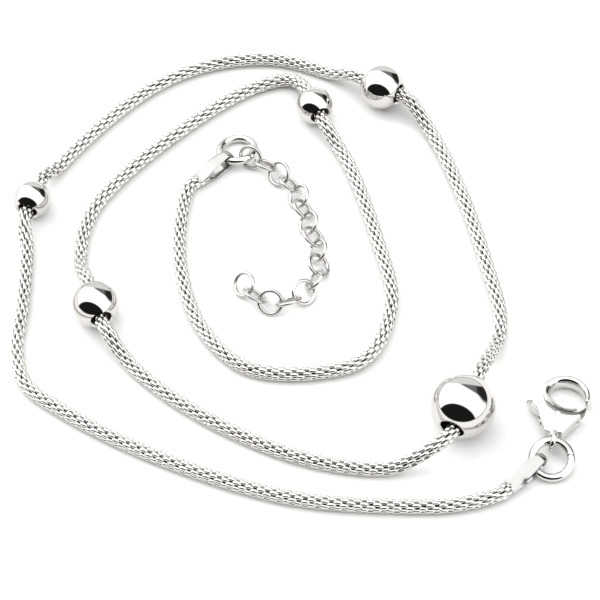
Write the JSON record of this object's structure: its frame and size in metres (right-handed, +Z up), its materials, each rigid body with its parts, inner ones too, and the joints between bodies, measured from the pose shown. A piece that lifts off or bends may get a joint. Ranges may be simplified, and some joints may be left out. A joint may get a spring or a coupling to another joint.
{
  "type": "beaded necklace",
  "caption": "Silver necklace of round bumpy mesh chain with polished ball beads, folded end tags, jump rings, a lobster clasp with a thumb lever, and a short extender chain of round links.",
  "frame": {"origin": "middle of the necklace's box on the surface that it lies on", "axes": "+X to the viewer's right, +Y away from the viewer, +Z up from the surface"},
  "size_m": [0.071, 0.0758, 0.008],
  "materials": {
    "mesh_silver": "bright silver mesh of small domes",
    "bead_silver": "mirror-polished silver",
    "fitting_silver": "polished silver",
    "clasp_silver": "polished cast silver",
    "link_silver": "polished silver wire"
  },
  "bodies": {
    "necklace": {"mesh_chain_outer": "mesh_silver", "mesh_chain_inner": "mesh_silver", "bead_small_outer": "bead_silver", "bead_medium_outer": "bead_silver", "bead_large": "bead_silver", "bead_medium_inner": "bead_silver", "bead_small_inner": "bead_silver", "end_tag_clasp": "fitting_silver", "end_tag_extender": "fitting_silver", "jump_ring_clasp": "fitting_silver", "jump_ring_extender": "fitting_silver", "clasp_body": "clasp_silver", "clasp_pin": "clasp_silver", "extender_link_01": "link_silver", "extender_link_02": "link_silver", "extender_link_03": "link_silver", "extender_link_04": "link_silver", "extender_link_05": "link_silver", "extender_link_06": "link_silver", "extender_link_07": "link_silver", "extender_link_08": "link_silver", "extender_link_09": "link_silver", "extender_link_10": "link_silver", "extender_link_11": "link_silver", "extender_link_12": "link_silver", "extender_link_13": "link_silver", "extender_link_14": "link_silver", "extender_link_15": "link_silver", "extender_link_16": "link_silver"},
    "lever": {"clasp_lever": "clasp_silver"}
  },
  "joints": [
    {"name": "lever_hinge", "type": "hinge", "parent": "necklace", "child": "lever", "pos_m": [0.03087, -0.02708, 0.00139], "axis": [0.0178, 0.0566, 0.9982], "range_deg": [0, 20], "stiffness_Nm_per_rad": 0.002, "springref_deg": -11.46}
  ]
}
